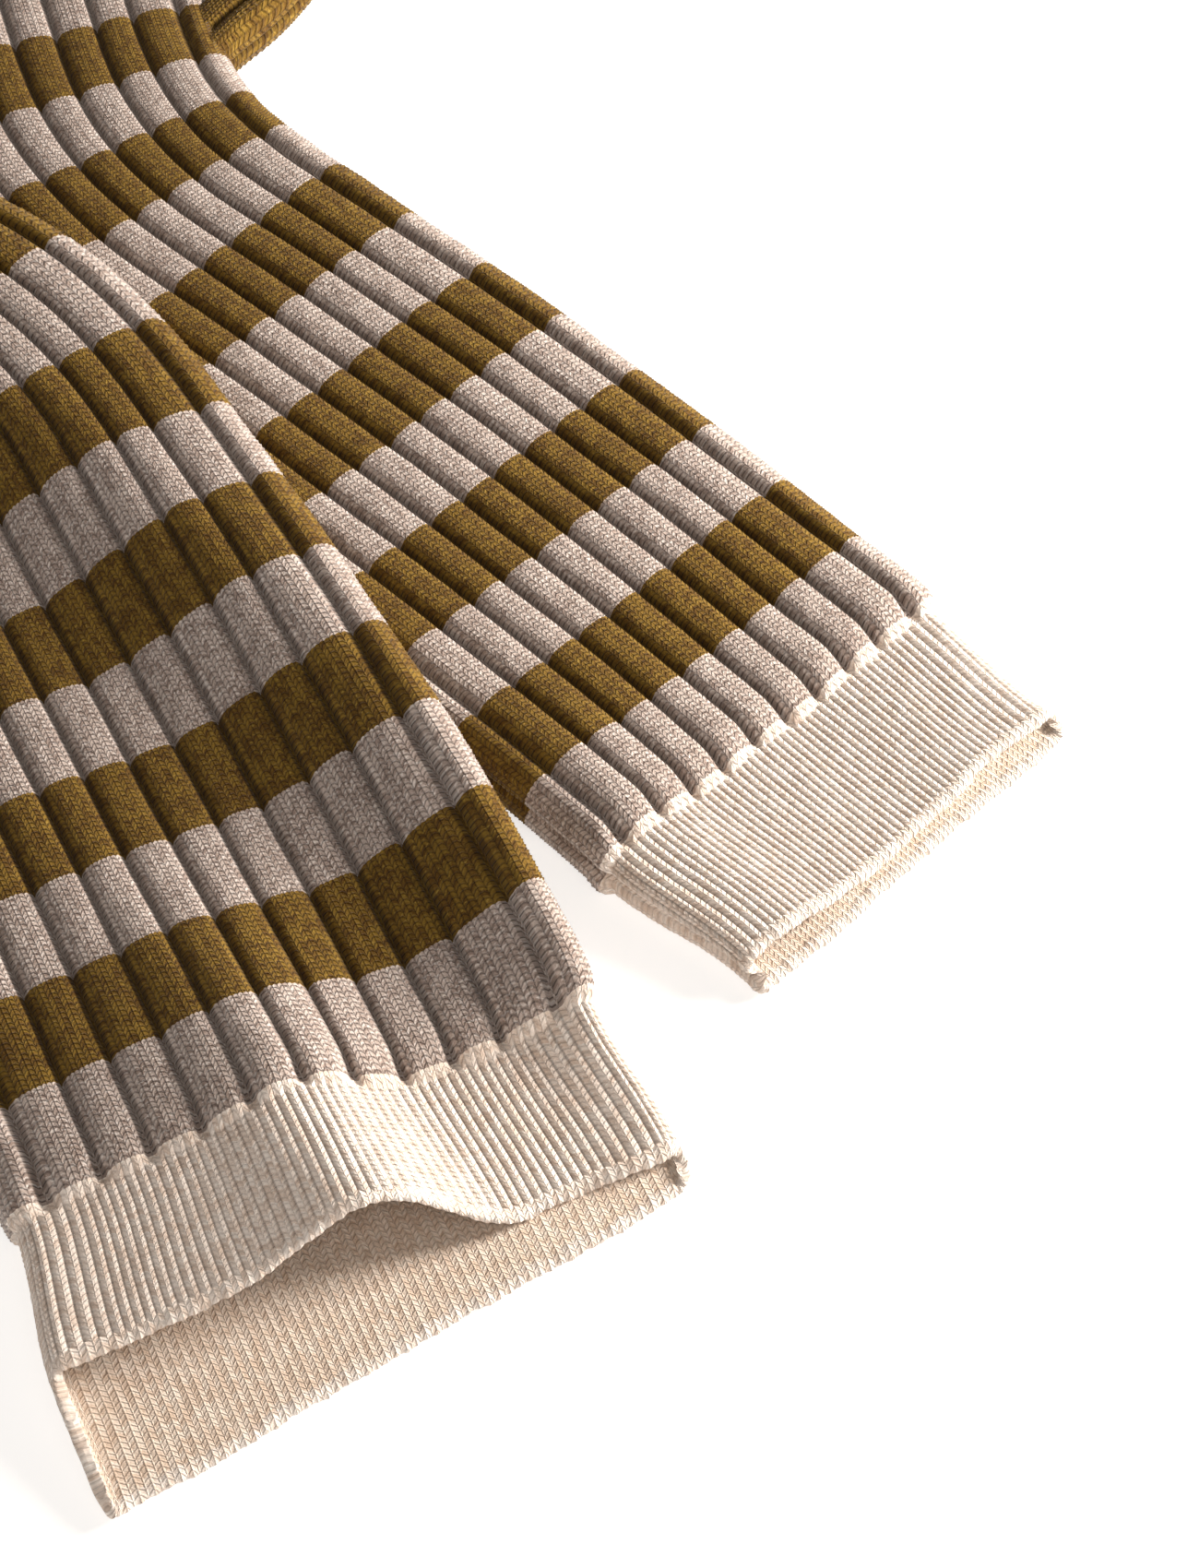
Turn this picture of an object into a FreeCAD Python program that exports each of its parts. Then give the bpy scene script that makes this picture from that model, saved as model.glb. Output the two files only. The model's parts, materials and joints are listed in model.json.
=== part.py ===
"""A pair of long rib-knit gloves with striped forearms, lying flat with one glove laid over the other.

Each glove is a flat knitted tube: a turned edge, a fine ribbed cuff, bands of two yarn colours up the
forearm and over the hand, a thumb and four fingers. All of it is hollow, as a glove is. The left glove
lies on the table, and the right glove is draped across it. Millimetres, +Z up, +Y from cuffs to hands.
"""
import FreeCAD, Part
import math
import os

from FreeCAD import Vector

# Lengths along a glove. Station 0 is near its mouth, which may reach a little further out.
EDGE_LENGTH = 2.4
CUFF_LENGTH = 28.0
BAND_LENGTH = 17.6
FOREARM_BANDS = 10
HAND_BANDS = 5
WRIST = CUFF_LENGTH + FOREARM_BANDS * BAND_LENGTH
KNUCKLES = WRIST + HAND_BANDS * BAND_LENGTH
CENTRELINE_START = -12

# Thickness of the flattened tube, and of one layer of its fabric.
TUBE_THICKNESS = 11.2
CUFF_THICKNESS = 9.4
EDGE_THICKNESS = 10.0
FINGER_THICKNESS = 10.2
WALL = 2.2

# Clearances between pieces that move, and between the stacked gloves.
JOINT_GAP = 0.4
STACK_GAP = 0.6
DRAPE_RUN = 34.0

# Points this near a line or a plane count as lying on it, and the top is the third run of a loop.
FLATNESS = 0.001
TOP_RUN = 2
RUN_STEPS = 20
TIP_FLAT = 0.3
WINDOW_RIM = 0.35

# The front layer of the right glove's mouth stands open in a low wave.
MOUTH_WAVE_HEIGHT = 8.0
MOUTH_WAVE_WIDTH = 32.0
MOUTH_WAVE_REACH = 75.0

# Fingers from the thumb side outwards: name, length, width, lean away from the hand's own heading.
FINGERS = (
    ("index_finger", 70.0, 20.4, 7.0),
    ("middle_finger", 78.0, 20.8, 2.0),
    ("ring_finger", 72.0, 20.0, -2.5),
    ("little_finger", 56.0, 18.0, -8.0),
)
FINGER_SPACE = 1.6
THUMB_LENGTH = 62.0
THUMB_WIDTH = 24.0
THUMB_LEAN = 52.0
THUMB_START = WRIST + 24.0
THUMB_ROOT = 30.0
THUMB_CLEARANCE = 1.6

# Where each glove lies. Headings are degrees from +X, and thumb_side is +1 for the right-hand side.
LEFT_GLOVE = {
    "mouth": 0.0,
    "cuff_line": (72.98, -135.99),
    "heading": 95.0,
    "drift": 0.045,
    "turn": -34.0,
    "turn_start": 165.0,
    "turn_length": 80.0,
    "half_widths": ((0.0, 35.5), (CUFF_LENGTH, 39.5), (WRIST, 40.0), (KNUCKLES, 42.6)),
    "thumb_side": 1,
}
RIGHT_GLOVE = {
    "mouth": -8.0,
    "cuff_line": (-27.23, -150.27),
    "heading": 77.5,
    "drift": 0.03,
    "turn": 52.0,
    "turn_start": 148.0,
    "turn_length": 95.0,
    "half_widths": ((0.0, 51.5), (CUFF_LENGTH, 48.0), (WRIST, 41.5), (KNUCKLES, 42.6)),
    "thumb_side": -1,
}


def smooth(t):
    """0 below 0, 1 above 1, and a soft step between them."""
    t = min(1.0, max(0.0, t))
    return t * t * (3 - 2 * t)


class Glove:
    """The path, width and height of one flattened glove."""

    def __init__(self, place, rests_on=None):
        self.place = place
        self.rests_on = rests_on
        self.thumb_side = place["thumb_side"]
        self.mouth = place["mouth"]
        self.stations = self.trace()

    def heading(self, s):
        place = self.place
        turned = place["turn"] * smooth((s - place["turn_start"]) / place["turn_length"])
        return math.radians(place["heading"] + place["drift"] * s + turned)

    def trace(self):
        """The centreline, one point per millimetre, moved so that the cuff's end is in its place."""
        x = y = 0.0
        points = []
        for s in range(CENTRELINE_START, int(KNUCKLES) + 2):
            points.append((x, y))
            x += math.cos(self.heading(s + 0.5))
            y += math.sin(self.heading(s + 0.5))
        at_cuff = points[int(CUFF_LENGTH) - CENTRELINE_START]
        dx = self.place["cuff_line"][0] - at_cuff[0]
        dy = self.place["cuff_line"][1] - at_cuff[1]
        return [(px + dx, py + dy) for px, py in points]

    def centre(self, s):
        i = math.floor(s)
        t = s - i
        a, b = self.stations[i - CENTRELINE_START : i - CENTRELINE_START + 2]
        return a[0] + (b[0] - a[0]) * t, a[1] + (b[1] - a[1]) * t

    def spot(self, s, across):
        """The plan position at a distance along the glove and across it, + to its right-hand side."""
        x, y = self.centre(s)
        h = self.heading(s)
        return x + across * math.sin(h), y - across * math.cos(h)

    def half_width(self, s):
        stops = self.place["half_widths"]
        for (s0, w0), (s1, w1) in zip(stops, stops[1:]):
            if s <= s1:
                return w0 + (w1 - w0) * smooth((s - s0) / (s1 - s0))
        return stops[-1][1]

    def outside(self, x, y):
        """How far a plan position lies outside this glove's tube. It is negative on the tube."""
        stations = enumerate(self.stations, CENTRELINE_START)
        return min(
            math.hypot(x - px, y - py) - self.half_width(s) for s, (px, py) in stations if s >= self.mouth
        )

    def lift(self, x, y):
        """The height at which this glove's underside lies: the table, or the glove beneath it."""
        if self.rests_on is None:
            return 0.0
        on_tube = 1 - smooth(self.rests_on.outside(x, y) / DRAPE_RUN)
        return (TUBE_THICKNESS + STACK_GAP) * on_tube

    def mouth_wave(self, s, across):
        if self.rests_on is None:
            return 0.0
        along = 1 - smooth(s / MOUTH_WAVE_REACH)
        return MOUTH_WAVE_HEIGHT * along * smooth(1 - abs(across) / MOUTH_WAVE_WIDTH)


def stadium(half_width, half_height):
    """A flat loop with round ends as four runs of (across, up): under, one end, top, other end."""
    flat = half_width - half_height
    under = [(flat * (2 * i / RUN_STEPS - 1), -half_height) for i in range(RUN_STEPS + 1)]
    end = [(flat, -half_height), (half_width, 0.0), (flat, half_height)]
    return [under, end, [(-u, -z) for u, z in under], [(-u, -z) for u, z in end]]


def run_edge(points):
    """One edge along a run of points: an arc through three, a straight line, or a smooth curve."""
    points = [Vector(*p) for p in points]
    first, last = points[0], points[-1]
    if len(points) == 3:
        return Part.Arc(*points).toShape()
    if all(p.distanceToLine(first, last - first) < FLATNESS for p in points):
        return Part.LineSegment(first, last).toShape()
    curve = Part.BSplineCurve()
    curve.buildFromPoles(points, False, 3)
    return curve.toShape()


def tube_loop(glove, s, thickness, inset):
    """The outline of the flattened tube at one station, offset inwards by inset."""
    edges = []
    for i, run in enumerate(stadium(glove.half_width(s) - inset, thickness / 2 - inset)):
        points = []
        for across, up in run:
            x, y = glove.spot(s, across)
            wave = glove.mouth_wave(s, across) if i == TOP_RUN else 0.0
            points.append((x, y, thickness / 2 + up + glove.lift(x, y) + wave))
        edges.append(run_edge(points))
    return edges


def patch(a, b):
    """The face between an edge and the next loop's edge: a plane where both lie level."""
    corners = [v.Point for v in (a.Vertexes[0], a.Vertexes[-1], b.Vertexes[-1], b.Vertexes[0])]
    straight = len(a.Vertexes) == 2 and a.Curve.TypeId == b.Curve.TypeId == "Part::GeomLine"
    if straight and max(p.z for p in corners) - min(p.z for p in corners) < FLATNESS:
        return Part.Face(Part.makePolygon(corners + corners[:1]))
    return Part.makeRuledSurface(a, b)


def walls(loops):
    """The faces between each loop and the next."""
    return [patch(a, b) for one, other in zip(loops, loops[1:]) for a, b in zip(one, other)]


def hollow(outer_loops, inner_loops, closed_end=False):
    """A solid between two skins, open at its first loop and open or closed at its last."""
    faces = walls(outer_loops) + walls(inner_loops)
    rims = [(Part.Wire(outer_loops[i]), Part.Wire(inner_loops[i])) for i in (0, -1)]
    faces.append(Part.makeFace(rims[0], "Part::FaceMakerBullseye"))
    if closed_end:
        faces += [Part.Face(wire) for wire in rims[1]]
    else:
        faces.append(Part.makeFace(rims[1], "Part::FaceMakerBullseye"))
    shell = Part.makeShell(faces)
    shell.sewShape()
    solid = Part.makeSolid(shell)
    if solid.Volume < 0:
        solid.reverse()
    return solid


def ring(glove, start, end, thickness):
    """One band of the tube between two stations, open at both ends."""
    stations = [start, (start + end) / 2, end] if end - start > EDGE_LENGTH * 2 else [start, end]
    outer = [tube_loop(glove, s, thickness, 0.0) for s in stations]
    inner = [tube_loop(glove, s, thickness, WALL) for s in stations]
    return hollow(outer, inner)


def digit_loop(glove, root, heading, cross, distance, half_width, half_height, inset):
    """The outline of a finger or thumb at a distance from its root, in the vertical plane along cross."""
    edges = []
    for run in stadium(half_width - inset, half_height - inset):
        points = []
        for across, up in run:
            x = root[0] + distance * math.cos(heading) + across * math.cos(cross)
            y = root[1] + distance * math.sin(heading) + across * math.sin(cross)
            points.append((x, y, FINGER_THICKNESS / 2 + up + glove.lift(x, y)))
        edges.append(run_edge(points))
    return edges


def digit(glove, root, heading, root_cross, length, root_width, width):
    """A hollow finger: open at its root, straight along its length and closed at a round tip."""
    half = width / 2
    height = FINGER_THICKNESS / 2
    cap = half * 1.15

    def loops(inset):
        made = []
        end = length - inset
        shares = (0.0, 0.28, 0.55, 1.0)
        for share in shares:
            distance = share * (length - cap)
            blend = smooth(share / shares[1])
            cross = root_cross + (heading - math.pi / 2 - root_cross) * blend
            wide = root_width / 2 + (half - root_width / 2) * blend
            made.append(digit_loop(glove, root, heading, cross, distance, wide, height, inset))
        for angle in (35, 60, 78):
            a = math.radians(angle)
            distance = length - cap + (end - length + cap) * math.sin(a)
            tall = (height - inset) * math.cos(a) ** 0.5 + inset
            wide = max((half - inset) * math.cos(a) ** 0.8 + inset, tall + TIP_FLAT)
            cross = heading - math.pi / 2
            made.append(digit_loop(glove, root, heading, cross, distance, wide, tall, inset))
        return made

    return hollow(loops(0.0), loops(WALL), closed_end=True)


def finger_roots(glove):
    """Each finger's name, length, width, root position and heading."""
    total = sum(width for _, _, width, _ in FINGERS) + FINGER_SPACE * (len(FINGERS) - 1)
    across = -total / 2
    roots = []
    for name, length, width, lean in FINGERS:
        middle = -glove.thumb_side * (across + width / 2)
        root = glove.spot(KNUCKLES, middle)
        heading = glove.heading(KNUCKLES)
        root = (root[0] + JOINT_GAP * math.cos(heading), root[1] + JOINT_GAP * math.sin(heading))
        roots.append((name, length, width, root, heading - glove.thumb_side * math.radians(lean)))
        across += width + FINGER_SPACE
    return roots


def thumb_root(glove):
    """The thumb's root position, heading, and the direction of the hand's side at the root."""
    s = THUMB_START + THUMB_ROOT / 2
    side = glove.heading(s)
    root = glove.spot(s, glove.thumb_side * (glove.half_width(s) + THUMB_CLEARANCE))
    return root, side - glove.thumb_side * math.radians(THUMB_LEAN), side


def thumb(glove):
    root, heading, side = thumb_root(glove)
    cross = side if glove.thumb_side < 0 else side - math.pi
    return digit(glove, root, heading, cross, THUMB_LENGTH, THUMB_ROOT, THUMB_WIDTH)


def thumb_window(glove):
    """The slot through the hand's side where the thumb's hollow meets the hand's."""
    root, _, side = thumb_root(glove)
    inwards = side + glove.thumb_side * math.pi / 2
    half_height = FINGER_THICKNESS / 2
    reach = FINGER_THICKNESS
    loops = [
        digit_loop(glove, root, inwards, side, distance, THUMB_ROOT / 2, half_height, WALL + WINDOW_RIM)
        for distance in (-THUMB_CLEARANCE / 2, reach)
    ]
    return Part.makeLoft([Part.Wire(edges) for edges in loops], True, True)


def glove_parts(name, glove):
    """Every piece of one glove, by node name."""
    cuff_start = glove.mouth + EDGE_LENGTH
    parts = {f"{name}_cuff_edge": ring(glove, glove.mouth, cuff_start, EDGE_THICKNESS)}
    parts[f"{name}_cuff"] = ring(glove, cuff_start, CUFF_LENGTH, CUFF_THICKNESS)
    for i in range(FOREARM_BANDS):
        start = CUFF_LENGTH + i * BAND_LENGTH
        at_fold = glove.rests_on is not None and i == FOREARM_BANDS - 1
        end = start + BAND_LENGTH - (JOINT_GAP if at_fold else 0.0)
        parts[f"{name}_forearm_band_{i + 1:02d}"] = ring(glove, start, end, TUBE_THICKNESS)
    window = thumb_window(glove)
    for i in range(HAND_BANDS):
        start = WRIST + i * BAND_LENGTH
        band = ring(glove, start, start + BAND_LENGTH, TUBE_THICKNESS)
        if start < THUMB_START + THUMB_ROOT and start + BAND_LENGTH > THUMB_START:
            band = band.cut(window)
        parts[f"{name}_hand_band_{i + 1}"] = band
    parts[f"{name}_thumb"] = thumb(glove)
    for finger, length, width, root, heading in finger_roots(glove):
        cross = glove.heading(KNUCKLES) - math.pi / 2
        parts[f"{name}_{finger}"] = digit(glove, root, heading, cross, length, width, width)
    return parts


def build():
    left = Glove(LEFT_GLOVE)
    right = Glove(RIGHT_GLOVE, rests_on=left)
    return {**glove_parts("left", left), **glove_parts("right", right)}


os.makedirs("parts", exist_ok=True)
for node, shape in build().items():
    shape.exportStep(f"parts/{node}.step")
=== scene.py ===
"""The looks of a pair of long striped rib-knit gloves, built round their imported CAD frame.

Every piece is a closed knitted sheet: its outside carries the ribs and stitches, its inside is smoother.
Sizes along and across a glove are in millimetres, as in the CAD, and meshes are written in metres.
"""

import json
import math

import bpy
import numpy as np
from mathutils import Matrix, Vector

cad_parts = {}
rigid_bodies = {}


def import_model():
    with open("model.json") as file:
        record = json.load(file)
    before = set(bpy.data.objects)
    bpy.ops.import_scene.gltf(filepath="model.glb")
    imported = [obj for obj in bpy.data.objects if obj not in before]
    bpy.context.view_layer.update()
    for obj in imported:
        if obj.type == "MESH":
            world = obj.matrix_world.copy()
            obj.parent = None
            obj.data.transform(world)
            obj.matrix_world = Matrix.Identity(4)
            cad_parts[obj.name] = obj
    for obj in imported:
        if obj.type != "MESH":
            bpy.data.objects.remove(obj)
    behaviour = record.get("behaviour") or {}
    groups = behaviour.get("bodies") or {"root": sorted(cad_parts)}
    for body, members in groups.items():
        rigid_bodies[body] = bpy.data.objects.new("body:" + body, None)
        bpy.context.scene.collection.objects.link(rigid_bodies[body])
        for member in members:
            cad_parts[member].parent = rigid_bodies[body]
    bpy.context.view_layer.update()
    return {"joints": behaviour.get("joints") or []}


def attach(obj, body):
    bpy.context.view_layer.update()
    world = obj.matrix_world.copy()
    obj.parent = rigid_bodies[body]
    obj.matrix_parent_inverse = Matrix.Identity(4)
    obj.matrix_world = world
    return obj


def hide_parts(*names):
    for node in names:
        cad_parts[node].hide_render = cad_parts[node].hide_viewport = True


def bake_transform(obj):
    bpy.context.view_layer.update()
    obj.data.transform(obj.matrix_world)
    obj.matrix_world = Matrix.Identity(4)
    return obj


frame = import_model()

MM = 0.001

# Lengths along a glove from its mouth, and thicknesses, all as in the CAD frame.
CUFF_LENGTH = 28.0
EDGE_LENGTH = 2.4
BAND_LENGTH = 17.6
FOREARM_BANDS = 10
HAND_BANDS = 5
WRIST = CUFF_LENGTH + FOREARM_BANDS * BAND_LENGTH
KNUCKLES = WRIST + HAND_BANDS * BAND_LENGTH
TUBE_THICKNESS = 11.2
CUFF_THICKNESS = 9.4
FINGER_THICKNESS = 10.2
STACK_GAP = 0.6
DRAPE_RUN = 34.0

# Fingers from the thumb side: name, length, width, lean from the hand's heading.
FINGERS = (
    ("index_finger", 70.0, 20.4, 7.0),
    ("middle_finger", 78.0, 20.8, 2.0),
    ("ring_finger", 72.0, 20.0, -2.5),
    ("little_finger", 56.0, 18.0, -8.0),
)
FINGER_SPACE = 1.6
FINGER_RIBS = 6
THUMB_LENGTH = 62.0
THUMB_WIDTH = 24.0
THUMB_LEAN = 52.0
THUMB_START = WRIST + 24.0
THUMB_ROOT = 30.0
THUMB_RIBS = 8
ROOT_TUCK = 6.0
TIP_WALL = 4.0
DIGIT_WALL = 3.2

# The knit: ribs round a glove, wales on a rib, and the height of one course.
RIBS = 24
FINE_RIBS = 120
WALES_ON_RIB = 4
COURSE = BAND_LENGTH / 17
ROWS_PER_COURSE = 3
STITCH_SLANT = 1.3

# Relief, in millimetres: the wide ribs, the share of one that is groove, the stitches and the cuff's ribs.
RIB_DEPTH = 2.5
RIB_GROOVE = 0.09
STITCH_RELIEF = 0.5
FINE_RIB_DEPTH = 0.42
FINE_STITCH_RELIEF = 0.20

# The cuff lies deeper than the wide ribs, which end there in rounded nubs. Walls are measured from the ribs'
# crests inwards.
CUFF_DROP = 1.6
NUB_LENGTH = 3.0
NUB_TAPER = 0.25
BAND_WALL = 3.9
CUFF_WALL = 3.3

# The last band reaches a little over the finger roots, and nothing goes below the table.
KNUCKLE_OVERLAP = 1.4
LOWEST = 0.05

# Soft folds in a glove's upper layer near its mouth: height, distance from the right side, and width.
LEFT_SAG = ((-1.1, 34, 16),)
LEFT_RIDGE_FROM_LEFT = ((2.0, 11, 9),)
LEFT_CLOSED = -2.6
RIGHT_RIDGE = ((9.0, 50, 12.5), (3.2, 68, 16))
RIGHT_VALLEY = ((-3.7, 29, 9.5), (-1.7, 16, 8))
RIGHT_PINCHED_CORNER = ((-3.2, 0, 8), (-2.2, 15, 11))
RIGHT_FOREARM_RIDGE = ((0.9, 60, 13),)

# How far along the glove each mouth's edge lies. The left one is nearly straight, with its back layer further
# out. On the right one the front layer's edge waves, and the back layer's slants out towards the left side.
LEFT_MOUTH_FRONT = -1.2
LEFT_MOUTH_BACK = -4.4
LEFT_MOUTH_RIPPLE = 0.5
RIGHT_MOUTH_FRONT = 1.0
RIGHT_MOUTH_BACK = -3.2
RIGHT_MOUTH_SLANT = -0.185
RIGHT_MOUTH_WAVE = ((2.6, 52, 15), (-1.2, 30, 10))

# Where each glove lies, as in the CAD. The last four shape its knit: ribs on its upper layer, the pleat along
# its left side, and how far its right side is pulled up and out near the mouth.
LEFT_GLOVE = {
    "cuff_line": (72.98, -135.99),
    "heading": 95.0,
    "drift": 0.045,
    "turn": -34.0,
    "turn_start": 165.0,
    "turn_length": 80.0,
    "half_widths": ((0.0, 35.5), (CUFF_LENGTH, 39.5), (WRIST, 40.0), (KNUCKLES, 42.6)),
    "thumb_side": 1,
    "top_ribs": 11,
    "pleat": 2.3,
    "skew": 6.5,
    "flare": 6.0,
}
RIGHT_GLOVE = {
    "cuff_line": (-27.23, -150.27),
    "heading": 77.5,
    "drift": 0.03,
    "turn": 52.0,
    "turn_start": 148.0,
    "turn_length": 95.0,
    "half_widths": ((0.0, 51.5), (CUFF_LENGTH, 48.0), (WRIST, 41.5), (KNUCKLES, 42.6)),
    "thumb_side": -1,
    "top_ribs": 12,
    "pleat": 0.0,
    "skew": 0.0,
    "flare": 0.0,
}


def smooth(t):
    """0 below 0, 1 above 1, and a soft step between them."""
    t = np.clip(t, 0.0, 1.0)
    return t * t * (3 - 2 * t)


def hump(t):
    """A soft bump: 1 at 0, and near 0 beyond 2."""
    return np.exp(-(np.asarray(t) ** 2))


def fading(s, start, run):
    """1 up to the start, and softly down to 0 over the run."""
    return 1 - smooth((s - start) / run)


def humps(t, table):
    """The sum of a table's humps, each one a height, a place and a width."""
    return sum(height * hump((t - place) / width) for height, place, width in table)


def wander(x, y, seed):
    """Smooth pseudo-random values, about -1 to 1, from a few crossed sine waves."""
    random = np.random.default_rng(seed)
    total = np.zeros(np.broadcast(x, y).shape)
    for octave in range(3):
        for _ in range(4):
            angle, phase = random.uniform(0, math.tau, 2)
            rate = (1.9**octave) * random.uniform(0.7, 1.3)
            total += np.sin(rate * (x * math.cos(angle) + y * math.sin(angle)) + phase) / (1.6**octave)
    return total / 4.5


class Glove:
    """The path, width, height and folds of one flattened glove."""

    # How far the path is drawn out before station 0 and past the knuckles.
    BEFORE = 24
    BEYOND = 12

    def __init__(self, place, rests_on=None):
        self.place = place
        self.rests_on = rests_on
        self.thumb_side = place["thumb_side"]
        self.top_ribs = place["top_ribs"]
        steps = np.arange(-self.BEFORE, int(KNUCKLES) + self.BEYOND)
        headings = self.heading(steps + 0.5)
        x = np.concatenate([[0.0], np.cumsum(np.cos(headings))])
        y = np.concatenate([[0.0], np.cumsum(np.sin(headings))])
        at_cuff = self.BEFORE + int(CUFF_LENGTH)
        self.x = x - x[at_cuff] + place["cuff_line"][0]
        self.y = y - y[at_cuff] + place["cuff_line"][1]
        self.s = np.append(steps, steps[-1] + 1)

    def heading(self, s):
        """The glove's direction, in radians from +X, at a distance along it."""
        place = self.place
        turned = place["turn"] * smooth((s - place["turn_start"]) / place["turn_length"])
        return np.radians(place["heading"] + place["drift"] * s + turned)

    def spot(self, s, across):
        """The plan position at a distance along the glove and across it, + to its right-hand side."""
        h = self.heading(s)
        x = np.interp(s, self.s, self.x) + across * np.sin(h)
        y = np.interp(s, self.s, self.y) - across * np.cos(h)
        return x, y

    def half_width(self, s):
        """Half the flat tube's width at a distance along it."""
        stops = self.place["half_widths"]
        width = np.full(np.shape(s), stops[0][1])
        for (s0, w0), (s1, w1) in zip(stops, stops[1:]):
            width = width + (w1 - w0) * smooth((s - s0) / (s1 - s0))
        return width

    def pulled(self, s, across):
        """The knit is pulled askew near the mouth: its right side lies further up and out."""
        to_right = 0.5 + across / (2 * self.half_width(s))
        s_pulled = s + self.place["skew"] * to_right * fading(s, -25, 120)
        return s_pulled, across + self.place["flare"] * to_right * fading(s, -8, 36)

    def outside(self, x, y):
        """How far plan positions lie outside this glove's tube, negative on the tube."""
        on = (self.s >= 0) & (self.s <= KNUCKLES)
        best = np.full(np.shape(x), math.inf)
        for s, px, py in zip(self.s[on], self.x[on], self.y[on]):
            best = np.minimum(best, np.hypot(x - px, y - py) - self.half_width(float(s)))
        return best

    def lift(self, x, y):
        """The height of this glove's underside: the table, or the glove beneath it."""
        if self.rests_on is None:
            return 0.0
        return (TUBE_THICKNESS + STACK_GAP) * fading(self.rests_on.outside(x, y), 0, DRAPE_RUN)

    def folds(self, s, from_right, top):
        """How far the soft tube stands above its flat shape. top is 1 on the upper layer, 0 below."""
        cuff_sinks = -(CUFF_DROP - 0.3) * (1 - top) * fading(s, CUFF_LENGTH - 3, 7)
        if self.rests_on is None:
            from_left = 2 * self.half_width(s) - from_right
            waves = humps(from_left, LEFT_RIDGE_FROM_LEFT) + humps(from_right, LEFT_SAG)
            return cuff_sinks + top * (fading(s, 30, 50) * waves + LEFT_CLOSED * fading(s, -4, 34))
        near = fading(s, 0, 95) * (humps(from_right, RIGHT_RIDGE) + humps(from_right, RIGHT_VALLEY))
        far = humps(from_right, RIGHT_FOREARM_RIDGE) * smooth(s / 60) * fading(s, 150, 50)
        pinched = humps(from_right, RIGHT_PINCHED_CORNER) * fading(s, -8, 44)
        return cuff_sinks + top * (near + far + pinched)

    def mouth(self, from_right, top):
        """How far along the glove its mouth's edge lies: the layers aren't level with each other."""
        if self.rests_on is None:
            front = LEFT_MOUTH_RIPPLE * np.sin(from_right / 9) + LEFT_MOUTH_FRONT
            back = LEFT_MOUTH_BACK
        else:
            front = humps(from_right, RIGHT_MOUTH_WAVE) + RIGHT_MOUTH_FRONT
            back = RIGHT_MOUTH_SLANT * from_right + RIGHT_MOUTH_BACK
        return top * front + (1 - top) * back


def loop_place(rib, top_ribs, ribs, w, r):
    """Where a rib coordinate lies on a flat loop with round ends: flat position, and normal across and up.

    The loop is 2w wide and 2r thick. Rib coordinates run from its right side over the top, and back below.
    Ribs lie a little closer together at the sides.
    """
    flat = np.maximum(w - r, 0.01)
    half = 2 * flat + math.pi * r
    under = rib > top_ribs
    t = np.where(under, (ribs - rib) / (ribs - top_ribs), rib / top_ribs)
    middle = np.minimum(2 * w / half, 1.0)
    edge = smooth(t / 0.14) + 1 - smooth((1 - t) / 0.14)
    a = (middle * t + (1 - middle) / 2 * edge) * half
    quarter = math.pi * r / 2
    on_right_end, on_flat = a < quarter, a < quarter + 2 * flat
    left_end_angle = math.pi / 2 + (a - quarter - 2 * flat) / r
    angle = np.where(on_right_end, a / r, np.where(on_flat, math.pi / 2, left_end_angle))
    base = np.where(on_right_end, flat, np.where(on_flat, flat + quarter - a, -flat))
    return base, np.cos(angle), np.sin(angle) * np.where(under, -1.0, 1.0)


def tube_thickness(s):
    """The thickness of a flat glove: less at the cuff, and closing softly past the knuckles."""
    thick = CUFF_THICKNESS + (TUBE_THICKNESS - CUFF_THICKNESS) * smooth((s - CUFF_LENGTH + 3) / 8)
    closing = np.sqrt(np.clip(1 - ((s - KNUCKLES + 6) / 7.5) ** 2, 0.0, 1.0))
    return np.where(s > KNUCKLES - 6, thick * np.maximum(closing, 0.12), thick)


def upper_layer(normal_up):
    """1 on the upper layer, 0 on the lower one, and a soft step round the sides."""
    return smooth((normal_up + 0.75) / 1.5)


def tube_points(glove, s, rib, depth):
    """Points of a glove's tube at a depth under its crest surface. Soft ribs and stripes wander a little."""
    off_the_seam = smooth(rib) * smooth(RIBS - rib)
    s = s + 0.5 * wander(rib * 1.3, s / 45, 14) * off_the_seam
    rib = rib + 0.07 * wander(s / 26, rib * 0.9, 15) * off_the_seam
    r = tube_thickness(s) / 2
    base, normal_across, normal_up = loop_place(rib, glove.top_ribs, RIBS, glove.half_width(s), r)
    on_left = np.clip(-normal_across, 0.0, 1.0)
    depth = depth + glove.place["pleat"] * hump(normal_up / 0.3) * on_left * fading(s, 20, 50)
    reach = np.maximum(r - depth, 0.15)
    across = base + reach * normal_across
    up = r + reach * normal_up
    from_right = glove.half_width(s) - across
    x, y = glove.spot(*glove.pulled(s, across))
    z = up + glove.lift(x, y) + glove.folds(s, from_right, upper_layer(normal_up))
    return np.stack([x, y, np.maximum(z, LOWEST)], -1)


def rib_relief(v):
    """How far a rib's surface lies under its crest: 0 on its rounded back, 1 in the groove."""
    c = np.abs(2 * v - 1)
    return 1 - (1 - c**2.9) ** 0.56


def stitch_relief(v, course):
    """The height of the V stitches on a rib, 0 to 1."""
    wales = (v - RIB_GROOVE) / (1 - 2 * RIB_GROOVE) * WALES_ON_RIB
    x = np.abs(wales - np.floor(wales) - 0.5)
    leg = np.clip(1 - ((x - 0.25) / 0.27) ** 2, 0.0, 1.0)
    along = 0.5 + 0.5 * np.cos(math.tau * (course - STITCH_SLANT * x))
    on_rib = (v > RIB_GROOVE) & (v < 1 - RIB_GROOVE)
    return np.where(on_rib, leg * (0.35 + 0.65 * along), 0.0)


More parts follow.
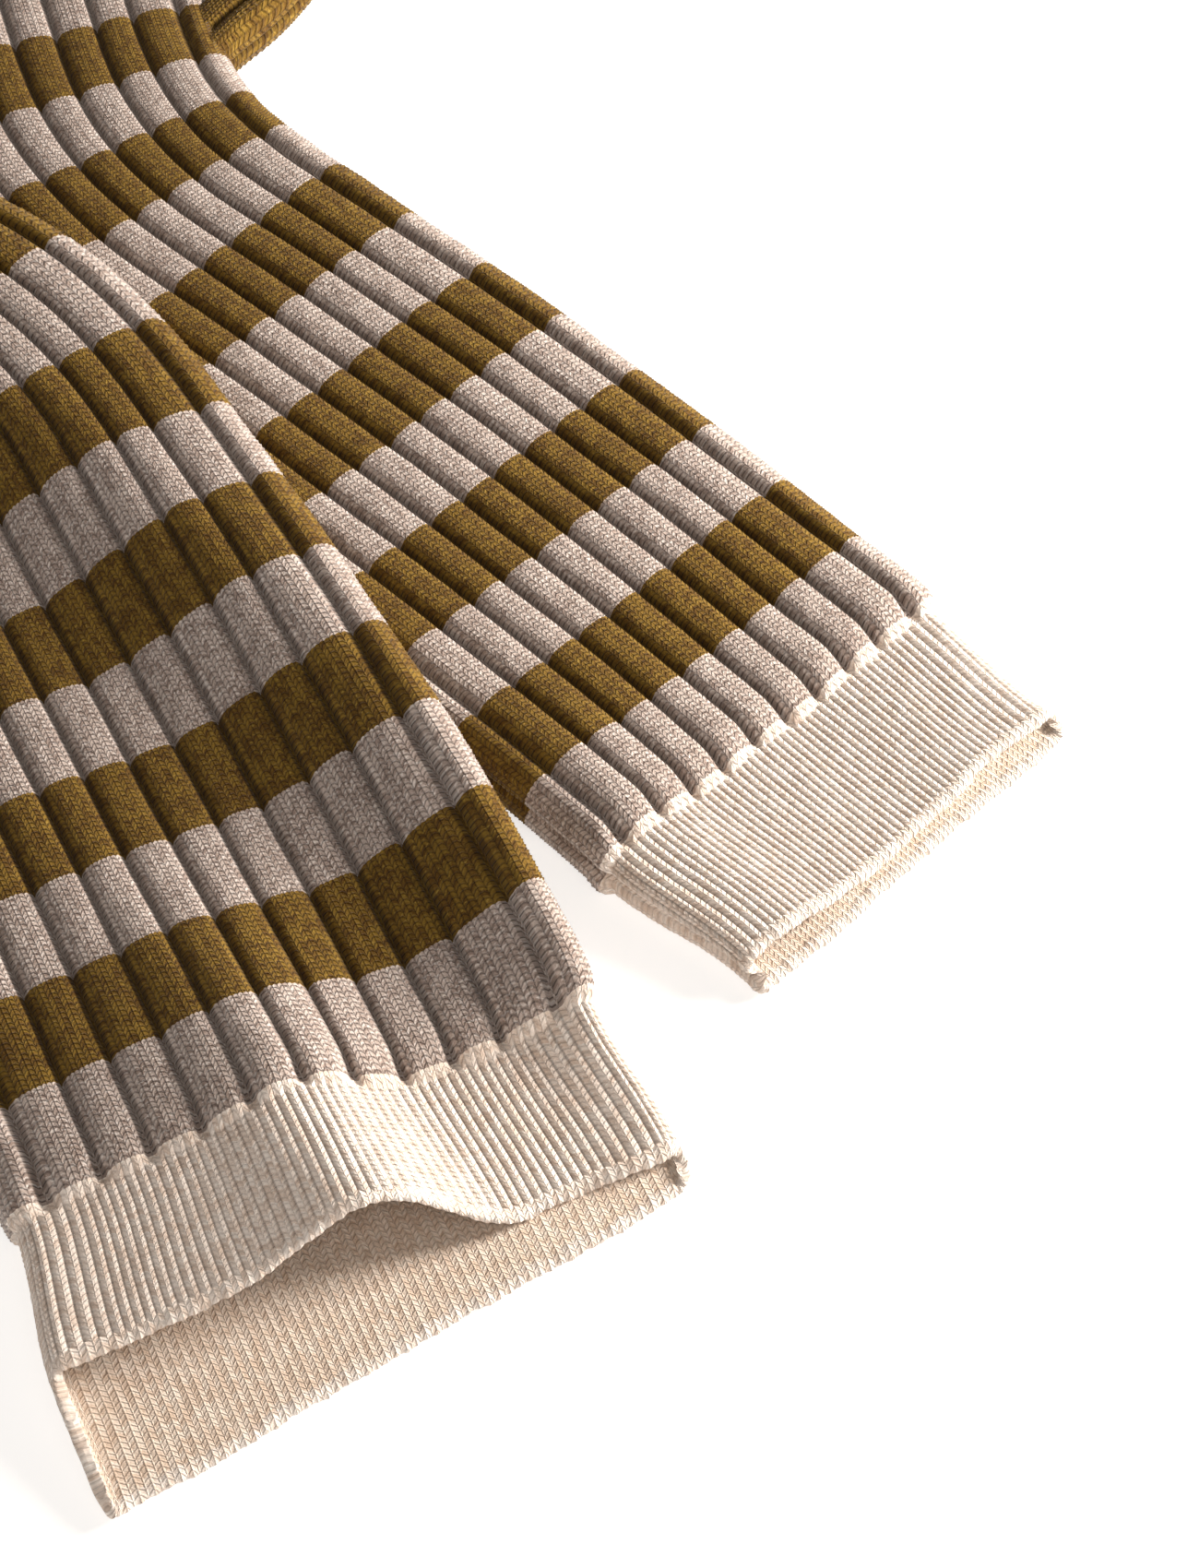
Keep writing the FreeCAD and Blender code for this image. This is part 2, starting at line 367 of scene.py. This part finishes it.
def fine_relief(fine, course):
    """How far the cuff's fine ribs lie under their crest, with their chained stitches."""
    c = np.abs(2 * (fine - np.floor(fine)) - 1)
    groove = smooth((c - 0.62) / 0.38)
    side = np.clip(1 - np.abs(c - 0.4) / 0.42, 0.0, 1.0)
    chain = side * (0.5 + 0.5 * np.cos(math.tau * (course - 0.8 * c)))
    return FINE_RIB_DEPTH * groove - FINE_STITCH_RELIEF * chain


def tube_depth(s, rib):
    """The depth of the knit under the crest surface, all along a glove's outside."""
    v = rib - np.floor(rib)
    narrowed = 1 + NUB_TAPER * fading(s, CUFF_LENGTH - 2, 8)
    v_narrow = np.clip(0.5 + (v - 0.5) * narrowed, 0.0, 1.0)
    course = s / COURSE
    rise = np.clip((s - CUFF_LENGTH + 1.4 + 0.5 * wander(rib * 2.3, 0.0, 13)) / NUB_LENGTH, 0.0, 1.0)
    nub = np.sqrt(1 - (1 - rise) ** 2)
    wide = RIB_DEPTH * rib_relief(v_narrow) - STITCH_RELIEF * stitch_relief(v, course) * nub
    fine = fine_relief(rib * FINE_RIBS / RIBS, course) + CUFF_DROP
    soft = 0.24 * wander(s / 9, rib * 1.1, 11) + 0.10 * wander(s / 1.3, rib * 5.1, 12)
    return fine * (1 - nub) + wide * nub + soft


def rib_columns(ribs):
    """Rib coordinates of a loop's columns: close together in the groove, four to a wale on the rib."""
    groove = [0.0, RIB_GROOVE * 0.33, RIB_GROOVE * 0.66]
    back = list(np.linspace(RIB_GROOVE, 1 - RIB_GROOVE, WALES_ON_RIB * 4 + 1))
    other = [1 - RIB_GROOVE * 0.66, 1 - RIB_GROOVE * 0.33]
    one = np.array(groove + back + other)
    return np.concatenate([one + rib for rib in range(ribs)])


def ring_mesh(name, points, knit, rows_outside, materials):
    """A closed mesh from rows of points. The rows run over the outside and back along the inside.

    points is rows x columns x 3, in millimetres, and closes both ways. knit holds rows x (columns + 1) x 2
    stitch coordinates, wales and courses. A second UV map lays each face out on its own, for baking.
    """
    rows, columns = points.shape[:2]
    mesh = bpy.data.meshes.new(name)
    i, j = np.meshgrid(np.arange(rows), np.arange(columns), indexing="ij")
    below, beside = (i + 1) % rows, (j + 1) % columns
    here, next_row = i * columns, below * columns
    quads = np.stack([here + j, here + beside, next_row + beside, next_row + j], -1).reshape(-1, 4)
    mesh.vertices.add(rows * columns)
    mesh.vertices.foreach_set("co", (points * MM).astype(np.float32).ravel())
    mesh.loops.add(quads.size)
    mesh.loops.foreach_set("vertex_index", quads.astype(np.int32).ravel())
    mesh.polygons.add(len(quads))
    mesh.polygons.foreach_set("loop_start", np.arange(0, quads.size, 4, dtype=np.int32))
    mesh.polygons.foreach_set("use_smooth", np.ones(len(quads), bool))
    mesh.update(calc_edges=True)
    for material in materials:
        mesh.materials.append(material)

    knit = np.concatenate([knit, knit[:1]], 0)
    corners = ((i, j), (i, j + 1), (i + 1, j + 1), (i + 1, j))
    stitch = np.stack([knit[a, b] for a, b in corners], 2)
    layer = mesh.uv_layers.new(name="Knit")
    layer.uv.foreach_set("vector", stitch.astype(np.float32).ravel())

    low = np.stack([j / columns, i / rows], -1)
    flat = [low, low + [1 / columns, 0], low + [1 / columns, 1 / rows], low + [0, 1 / rows]]
    bake = np.stack(flat, 2) * 0.98 + 0.01
    layer = mesh.uv_layers.new(name="OFBake")
    layer.uv.foreach_set("vector", bake.astype(np.float32).ravel())

    mark_sharp(mesh, columns, [0, rows_outside - 1, rows - 1])
    piece = bpy.data.objects.new(name, mesh)
    bpy.context.scene.collection.objects.link(piece)
    return piece


def paint_rows(piece, columns, material_index):
    """Gives whole rows of a ring mesh's faces their material."""
    piece.data.polygons.foreach_set("material_index", np.repeat(material_index, columns).astype(np.int32))


def mark_sharp(mesh, columns, sharp_rows):
    """Edges along these rows of a ring mesh are sharp, to keep the outside's shading apart from the rim's."""
    edges = np.empty(len(mesh.edges) * 2, np.int32)
    mesh.edges.foreach_get("vertices", edges)
    row = edges.reshape(-1, 2) // columns
    sharp = (row[:, 0] == row[:, 1]) & np.isin(row[:, 0], sharp_rows)
    attribute = mesh.attributes.new("sharp_edge", "BOOLEAN", "EDGE")
    attribute.data.foreach_set("value", sharp)


def band(glove, name, start, end, material):
    """One colour band of a glove's tube, knitted in wide ribs."""
    columns = rib_columns(RIBS)
    courses = (end - start) / COURSE
    rows = np.linspace(start, end, int(round(courses * ROWS_PER_COURSE)) + 1)
    s, rib = np.meshgrid(rows, columns, indexing="ij")
    outside = tube_points(glove, s, rib, tube_depth(s, rib))
    back = np.linspace(end, start, 5)
    s_in, rib_in = np.meshgrid(back, columns, indexing="ij")
    inside = tube_points(glove, s_in, rib_in, BAND_WALL + 0.25 * wander(s_in / 3, rib_in * 2, 21))
    all_s = np.concatenate([rows, back])
    knit = knit_coordinates(all_s, columns, RIBS)
    return ring_mesh(name, np.concatenate([outside, inside]), knit, len(rows), [material])


def knit_coordinates(s, columns, ribs):
    """Wales round the loop and courses along it, for each corner of a ring's grid."""
    wide = np.append(columns, ribs)
    v = wide - np.floor(wide)
    wales = np.clip((v - RIB_GROOVE) / (1 - 2 * RIB_GROOVE), 0.0, 1.0) * WALES_ON_RIB
    wales = wales + np.floor(wide) * (WALES_ON_RIB + 1)
    u, c = np.meshgrid(wales, s / COURSE)
    return np.stack([u, c], -1)


def cuff(glove, name, materials):
    """The fine ribbed cuff: both its faces are ribbed, because its mouth shows the inside."""
    columns = fine_columns()
    rows = int(round(CUFF_LENGTH / COURSE * ROWS_PER_COURSE))
    share = np.linspace(0, 1, rows + 1)
    t, rib = np.meshgrid(share, columns, indexing="ij")
    start = mouth_line(glove, rib)
    s = start + EDGE_LENGTH * 0.5 + t * (CUFF_LENGTH - start - EDGE_LENGTH * 0.5)
    outside = tube_points(glove, s, rib, tube_depth(s, rib))
    flipped = s[::-1]
    inner = CUFF_WALL - fine_relief(rib * FINE_RIBS / RIBS + 0.5, flipped / COURSE)
    inside = tube_points(glove, flipped, rib, inner)
    knit = fine_coordinates(np.concatenate([s, flipped]), columns)
    piece = ring_mesh(name, np.concatenate([outside, inside]), knit, len(share), materials)
    row = np.arange(2 * len(share))
    # The inside's rows take the cream with painted shade, darker and warmer than the outside.
    paint_rows(piece, len(columns), (row >= len(share)) & (row < len(row) - 1))
    return piece


def fine_columns():
    """Rib coordinates of the cuff's columns: a groove, its two edges, and the back of each fine rib."""
    one = np.array([0.0, 0.14, 0.36, 0.64, 0.86])
    return ((np.arange(FINE_RIBS)[:, None] + one) * RIBS / FINE_RIBS).ravel()


def mouth_line(glove, rib):
    """The distance along the glove of its mouth's edge, round the loop."""
    r = CUFF_THICKNESS / 2
    w = glove.half_width(0.0)
    base, normal_across, normal_up = loop_place(rib, glove.top_ribs, RIBS, w, r)
    return glove.mouth(w - base - r * normal_across, upper_layer(normal_up))


def fine_coordinates(s, columns):
    """The cuff's stitch coordinates: fine ribs round it and courses along it."""
    wide = np.append(columns, RIBS) * FINE_RIBS / RIBS
    padded = np.concatenate([s, s[:, :1]], 1) / COURSE
    return np.stack([np.broadcast_to(wide, padded.shape), padded], -1)


def cuff_edge(glove, name, material):
    """The cast-off edge: a soft bead round the mouth, one bump to each fine rib."""
    columns = fine_columns()
    turns = np.linspace(0, math.tau, 17)[:-1]
    turn, rib = np.meshgrid(turns, columns, indexing="ij")
    bump = 0.5 + 0.5 * np.cos(math.tau * rib * FINE_RIBS / RIBS)
    ragged = wander(rib * 6.0, turn, 31)
    half_wall = (CUFF_WALL - CUFF_DROP) / 2
    thick = half_wall + 0.06 + 0.12 * bump + 0.16 * ragged
    long = EDGE_LENGTH * 0.5 + 0.2 * bump + 0.3 * ragged
    s = mouth_line(glove, rib) + EDGE_LENGTH * 0.5 - long * np.cos(turn)
    depth = CUFF_DROP + half_wall - thick * np.sin(turn)
    points = tube_points(glove, s, rib, depth)
    knit = fine_coordinates(s, columns)
    return ring_mesh(name, points, knit, len(turns) + 1, [material])


def yarn_material(name, colour, shade, marl, marl_share, sheen, gap_shade_strength):
    """A knitted yarn: V stitches whose gaps are sunk by a bump and darkened with painted shade, uneven and
    marled in tone, with a soft sheen.
    """
    material = bpy.data.materials.new(name)
    material.use_nodes = True
    tree = material.node_tree
    shader = tree.nodes["Principled BSDF"]
    shader.inputs["Roughness"].default_value = 0.92
    shader.inputs["Specular IOR Level"].default_value = 0.18
    shader.inputs["Sheen Weight"].default_value = sheen
    shader.inputs["Sheen Roughness"].default_value = 0.45

    def node(kind, **values):
        made = tree.nodes.new(kind)
        for key, value in values.items():
            setattr(made, key, value)
        return made

    def math_node(operation, a, b=None):
        made = node("ShaderNodeMath", operation=operation)
        for socket, value in zip(made.inputs, (a, b)):
            if value is None:
                continue
            if isinstance(value, (int, float)):
                socket.default_value = value
            else:
                tree.links.new(value, socket)
        return made.outputs[0]

    def noise(vector, scale, detail):
        made = node("ShaderNodeTexNoise")
        made.inputs["Scale"].default_value = scale
        made.inputs["Detail"].default_value = detail
        tree.links.new(vector, made.inputs["Vector"])
        return made.outputs["Fac"]

    def mixed(factor, a, b):
        made = node("ShaderNodeMix", data_type="RGBA")
        tree.links.new(factor, made.inputs["Factor"])
        for socket, value in ((made.inputs["A"], a), (made.inputs["B"], b)):
            if isinstance(value, tuple):
                socket.default_value = (*value, 1.0)
            else:
                tree.links.new(value, socket)
        return made.outputs["Result"]

    def step(value, low, high):
        made = node("ShaderNodeMapRange", interpolation_type="SMOOTHSTEP")
        made.inputs["From Min"].default_value = low
        made.inputs["From Max"].default_value = high
        tree.links.new(value, made.inputs["Value"])
        return made.outputs["Result"]

    # The gaps between stitches: between a wale's two legs, beside them, and between courses. Their depth
    # sinks the bump and also darkens the colour as painted shade.
    stitch = node("ShaderNodeUVMap", uv_map="Knit").outputs["UV"]
    split = node("ShaderNodeSeparateXYZ")
    tree.links.new(stitch, split.inputs[0])
    wale, course = split.outputs[0], split.outputs[1]
    x = math_node("ABSOLUTE", math_node("SUBTRACT", math_node("FRACT", wale), 0.5))
    leg_course = math_node("SUBTRACT", course, math_node("MULTIPLY", x, STITCH_SLANT))
    between = math_node("ABSOLUTE", math_node("SUBTRACT", math_node("FRACT", leg_course), 0.5))
    gap_along = step(between, 0.24, 0.46)
    gap_side = step(x, 0.36, 0.5)
    gap_middle = math_node("SUBTRACT", 1.0, step(x, 0.0, 0.10))
    gap_across = math_node("MAXIMUM", gap_side, gap_middle)
    hole = math_node("MULTIPLY", gap_along, gap_across)
    depth = math_node("MULTIPLY", gap_across, 0.42)
    depth = math_node("MAXIMUM", depth, math_node("MULTIPLY", gap_along, 0.55))
    depth = math_node("MAXIMUM", depth, math_node("MULTIPLY", hole, 0.95))

    # Each leg of each stitch has a random shade of its own.
    leg = math_node("FLOOR", math_node("MULTIPLY", wale, 2.0))
    cell = node("ShaderNodeCombineXYZ")
    tree.links.new(leg, cell.inputs[0])
    tree.links.new(math_node("FLOOR", math_node("ADD", leg_course, 0.5)), cell.inputs[1])
    each = node("ShaderNodeTexWhiteNoise", noise_dimensions="2D")
    tree.links.new(cell.outputs[0], each.inputs["Vector"])

    fibre = noise(stitch, 6.0, 3.0)
    patches = noise(stitch, 0.16, 2.0)
    marled = step(noise(stitch, 2.1, 2.0), 0.66 - marl_share, 0.74 - marl_share)
    own_shade = math_node("MULTIPLY", each.outputs["Value"], 0.5)
    lightness = math_node("ADD", math_node("MULTIPLY", fibre, 0.9), own_shade)
    tone = mixed(step(lightness, 0.35, 1.0), shade, colour)
    tone = mixed(math_node("MULTIPLY", marled, 0.65), tone, marl)
    tone = mixed(math_node("MULTIPLY", step(patches, 0.35, 0.75), 0.22), tone, shade)
    # Painted shade: the gaps' colour is mixed towards a fifth of the shade colour, as far as their depth and
    # the gap shade strength reach.
    gap_shade_colour = tuple(c * 0.22 for c in shade)
    tone = mixed(math_node("MULTIPLY", depth, gap_shade_strength), tone, gap_shade_colour)
    tree.links.new(tone, shader.inputs["Base Color"])

    height = math_node("MULTIPLY", fibre, 0.5)
    height = math_node("SUBTRACT", height, math_node("MULTIPLY", depth, 1.2))
    bump = node("ShaderNodeBump")
    bump.inputs["Strength"].default_value = 0.7
    bump.inputs["Distance"].default_value = 0.00035
    tree.links.new(height, bump.inputs["Height"])
    tree.links.new(bump.outputs["Normal"], shader.inputs["Normal"])
    return material


def yarns():
    """The yarns: colour, its shade, its marled fibres, their share, sheen, and how strongly painted shade
    darkens the gaps.
    """
    cream_marl = (0.93, 0.89, 0.82)
    return {
        "cream": yarn_material(
            "cream_yarn", (0.88, 0.79, 0.71), (0.68, 0.54, 0.44), cream_marl, 0.05, 0.25, 0.3
        ),
        # The same cream yarn made darker and warmer: a painted shade for the glove's inner faces.
        "cream_inside_painted_shade": yarn_material(
            "cream_yarn_inside_painted_shade", (0.86, 0.74, 0.63), (0.67, 0.51, 0.39), cream_marl, 0.0, 0.2, 0.3
        ),
        "oatmeal": yarn_material(
            "oatmeal_yarn", (0.60, 0.50, 0.44), (0.31, 0.23, 0.19), (0.82, 0.75, 0.70), 0.12, 0.3, 0.95
        ),
        "olive": yarn_material(
            "olive_yarn", (0.245, 0.145, 0.022), (0.105, 0.050, 0.008), (0.38, 0.25, 0.05), 0.05, 0.08, 0.9
        ),
    }


def digit_mesh(glove, name, root, heading, root_cross, length, root_width, width, ribs, materials):
    """A finger or thumb: a ribbed tube that closes at a round tip, striped from its second material on."""
    columns = rib_columns(ribs)
    cap = width / 2 * 1.15
    stripes = max(3, int(round((length - 2) / BAND_LENGTH)))
    share = np.concatenate([
        np.linspace(-ROOT_TUCK, length - cap, int((length - cap + ROOT_TUCK) / COURSE * ROWS_PER_COURSE)),
        length - cap + cap * np.sin(np.radians(np.linspace(3, 88, 34))),
    ])
    inner = np.linspace(length - TIP_WALL, -ROOT_TUCK, 14)

    def surface(along, rib, depth):
        over = np.clip((along - (length - cap)) / cap, 0.0, 0.9995)
        narrow = np.sqrt(1 - over**2)
        blend = smooth(along / (length * 0.28))
        wide = (root_width + (width - root_width) * blend) / 2
        half_height = FINGER_THICKNESS / 2 * narrow**0.7
        w = np.maximum(wide * narrow, half_height + 0.01)
        base, normal_across, normal_up = loop_place(rib, ribs / 2, ribs, w, half_height)
        reach = np.maximum(half_height - depth, 0.1)
        across = base + reach * normal_across
        cross = root_cross + (heading - math.pi / 2 - root_cross) * blend
        x = root[0] + along * math.cos(heading) + across * np.cos(cross)
        y = root[1] + along * math.sin(heading) + across * np.sin(cross)
        up = FINGER_THICKNESS / 2 + reach * normal_up
        return np.stack([x, y, np.maximum(up + glove.lift(x, y), LOWEST)], -1)

    s, rib = np.meshgrid(share, columns, indexing="ij")
    v = rib - np.floor(rib)
    fade = 1 - 0.75 * smooth((s - (length - cap * 0.8)) / (cap * 0.8))
    depth = (RIB_DEPTH * 0.72 * rib_relief(v) - STITCH_RELIEF * stitch_relief(v, s / COURSE)) * fade
    depth = depth + 0.1 * wander(s / 5, rib * 1.3, len(name))
    outside = surface(s, rib, depth)
    s_in, rib_in = np.meshgrid(inner, columns, indexing="ij")
    inside = surface(s_in, rib_in, DIGIT_WALL)
    all_s = np.concatenate([share, inner])
    knit = knit_coordinates(all_s, columns, ribs)
    piece = ring_mesh(name, np.concatenate([outside, inside]), knit, len(share), materials)
    stripe = np.floor(np.maximum(all_s, 0.0) / (length / stripes)).astype(int)
    paint_rows(piece, len(columns), (stripe + 1) % 2)
    return piece


def finger_roots(glove):
    """Each finger's name, length, width, root position and heading."""
    total = sum(width for _, _, width, _ in FINGERS) + FINGER_SPACE * (len(FINGERS) - 1)
    across = -total / 2
    heading = float(glove.heading(KNUCKLES))
    for name, length, width, lean in FINGERS:
        x, y = glove.spot(KNUCKLES, -glove.thumb_side * (across + width / 2))
        yield name, length, width, (float(x), float(y)), heading - glove.thumb_side * math.radians(lean)
        across += width + FINGER_SPACE


def thumb_root(glove):
    """The thumb's root on the hand's side, its heading, and the side's own direction."""
    s = THUMB_START + THUMB_ROOT / 2
    side = float(glove.heading(s))
    x, y = glove.spot(s, glove.thumb_side * (float(glove.half_width(s)) + 1.0))
    return (float(x), float(y)), side - glove.thumb_side * math.radians(THUMB_LEAN), side


def joint_between(parent, child):
    """The frame's joint from one body to another."""
    for joint in frame["joints"]:
        if joint["parent"] == parent and joint["child"] == child:
            return joint
    raise KeyError((parent, child))


def bend(piece, parent, child, direction):
    """Looks up the joint between the bodies, whose pivot is not used, and bakes the piece's placement into
    its mesh; the piece is not bent.
    """
    pivot = Vector(joint_between(parent, child)["pos_m"])
    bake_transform(piece)


def make_glove(side, glove, yarn, forearm_body, hand_body):
    """Every piece of one glove, each standing for its CAD node."""
    edge = cuff_edge(glove, f"knit_{side}_cuff_edge", yarn["cream"])
    body = cuff(glove, f"knit_{side}_cuff", [yarn["cream"], yarn["cream_inside_painted_shade"]])
    for piece, node in ((edge, f"{side}_cuff_edge"), (body, f"{side}_cuff")):
        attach(piece, forearm_body)
        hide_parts(node)
    for i in range(FOREARM_BANDS + HAND_BANDS):
        on_hand = i >= FOREARM_BANDS
        node = f"{side}_hand_band_{i - FOREARM_BANDS + 1}" if on_hand else f"{side}_forearm_band_{i + 1:02d}"
        start = CUFF_LENGTH + i * BAND_LENGTH
        end = start + BAND_LENGTH + (KNUCKLE_OVERLAP if i == FOREARM_BANDS + HAND_BANDS - 1 else 0.0)
        colour = "olive" if i % 2 else "oatmeal"
        piece = band(glove, f"knit_{node}", start, end, yarn[colour])
        if forearm_body != hand_body and i in (FOREARM_BANDS - 1, FOREARM_BANDS):
            bend(piece, forearm_body, hand_body, float(glove.heading(WRIST)))
        else:
            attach(piece, hand_body if on_hand else forearm_body)
        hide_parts(node)
    stripes = [yarn["oatmeal"], yarn["olive"]]
    heading = float(glove.heading(KNUCKLES))
    for name, length, width, root, lean in finger_roots(glove):
        node = f"{side}_{name}"
        cross = heading - math.pi / 2
        piece = digit_mesh(
            glove, f"knit_{node}", root, lean, cross, length, width, width, FINGER_RIBS, stripes
        )
        bend(piece, hand_body, node, heading)
        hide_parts(node)
    root, lean, hand_side = thumb_root(glove)
    cross = hand_side if glove.thumb_side < 0 else hand_side - math.pi
    node = f"{side}_thumb"
    piece = digit_mesh(
        glove, f"knit_{node}", root, lean, cross, THUMB_LENGTH, THUMB_ROOT, THUMB_WIDTH, THUMB_RIBS, stripes
    )
    bend(piece, hand_body, node, hand_side - glove.thumb_side * math.pi / 2)
    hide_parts(node)


# The camera stands where the picture was taken from: over the cuffs, with a long lens.
CAMERA_AIM = Vector((0.0478, -0.1221, 0.0))
CAMERA_DISTANCE = 0.6678
CAMERA_AZIMUTH = -36.0
CAMERA_ELEVATION = 52.86
CAMERA_LENS = 95.3

# The lights: azimuth from the camera's, elevation, distance, size, power and colour. The key is a soft window
# light, close by on the right and low, so that it falls off across the pair.
LIGHTS = {
    "key": (108.0, 21.0, 0.62, 0.26, 10.7, (1.0, 0.93, 0.86)),
    "fill": (25.0, 50.0, 1.8, 1.2, 6.0, (1.0, 0.95, 0.9)),
    "back": (200.0, 30.0, 1.8, 1.0, 3.4, (1.0, 0.94, 0.88)),
}
BACKDROP_RADIUS = 4.0
BACKDROP_HEIGHT = 1.3


def toward(azimuth, elevation):
    """The unit vector from the object to a viewer or light. Azimuth 0 stands at -Y, 90 at +X."""
    a, e = math.radians(azimuth), math.radians(elevation)
    return Vector((math.sin(a) * math.cos(e), -math.cos(a) * math.cos(e), math.sin(e)))


def make_camera():
    """The photo's camera, looking at the cuffs."""
    camera = bpy.data.objects.new("camera", bpy.data.cameras.new("camera"))
    bpy.context.scene.collection.objects.link(camera)
    back = toward(CAMERA_AZIMUTH, CAMERA_ELEVATION)
    camera.location = CAMERA_AIM + back * CAMERA_DISTANCE
    camera.rotation_mode = "QUATERNION"
    camera.rotation_quaternion = (-back).to_track_quat("-Z", "Y")
    camera.data.lens = CAMERA_LENS
    camera.data.sensor_width = 36.0
    camera.data.clip_start = 0.01
    bpy.context.scene.camera = camera


def area_light(name, azimuth, elevation, distance, size, power, colour):
    """A round soft light that looks at the point the camera looks at."""
    light = bpy.data.objects.new(name, bpy.data.lights.new(name, "AREA"))
    bpy.context.scene.collection.objects.link(light)
    light.data.shape = "DISK"
    light.data.size = size
    light.data.energy = power
    light.data.color = colour
    direction = toward(azimuth, elevation)
    light.location = CAMERA_AIM + direction * distance
    light.rotation_mode = "QUATERNION"
    light.rotation_quaternion = (-direction).to_track_quat("-Z", "Y")


def stage_material():
    """Near-white paper, lit a little from within so that it stays pale away from the lights."""
    material = bpy.data.materials.new("paper")
    material.use_nodes = True
    shader = material.node_tree.nodes["Principled BSDF"]
    shader.inputs["Base Color"].default_value = (0.52, 0.51, 0.50, 1.0)
    shader.inputs["Roughness"].default_value = 0.9
    shader.inputs["Emission Color"].default_value = (1.0, 0.985, 0.965, 1.0)
    shader.inputs["Emission Strength"].default_value = 0.7
    return material


def make_studio():
    """A pale floor and backdrop, the lights, and a soft warm fill from all round."""
    paper = stage_material()
    bpy.ops.mesh.primitive_plane_add(size=2 * BACKDROP_RADIUS)
    floor = bpy.context.object
    bpy.ops.mesh.primitive_cylinder_add(
        vertices=96,
        radius=BACKDROP_RADIUS * 0.97,
        depth=BACKDROP_HEIGHT,
        end_fill_type="NOTHING",
        location=(0.0, 0.0, BACKDROP_HEIGHT / 2),
    )
    backdrop = bpy.context.object
    for piece, name in ((floor, "floor"), (backdrop, "backdrop")):
        piece.name = name
        piece.data.materials.append(paper)
    world = bpy.data.worlds.new("studio")
    bpy.context.scene.world = world
    world.use_nodes = True
    background = world.node_tree.nodes["Background"]
    background.inputs["Color"].default_value = (1.0, 0.91, 0.84, 1.0)
    background.inputs["Strength"].default_value = 0.23
    for name, (from_camera, elevation, distance, size, power, colour) in LIGHTS.items():
        area_light(name, CAMERA_AZIMUTH + from_camera, elevation, distance, size, power, colour)
    bpy.context.scene.view_settings.view_transform = "Standard"


left = Glove(LEFT_GLOVE)
right = Glove(RIGHT_GLOVE, rests_on=left)
make_camera()
make_studio()
yarn = yarns()
make_glove("left", left, yarn, "left_glove", "left_glove")
make_glove("right", right, yarn, "right_forearm", "right_hand")
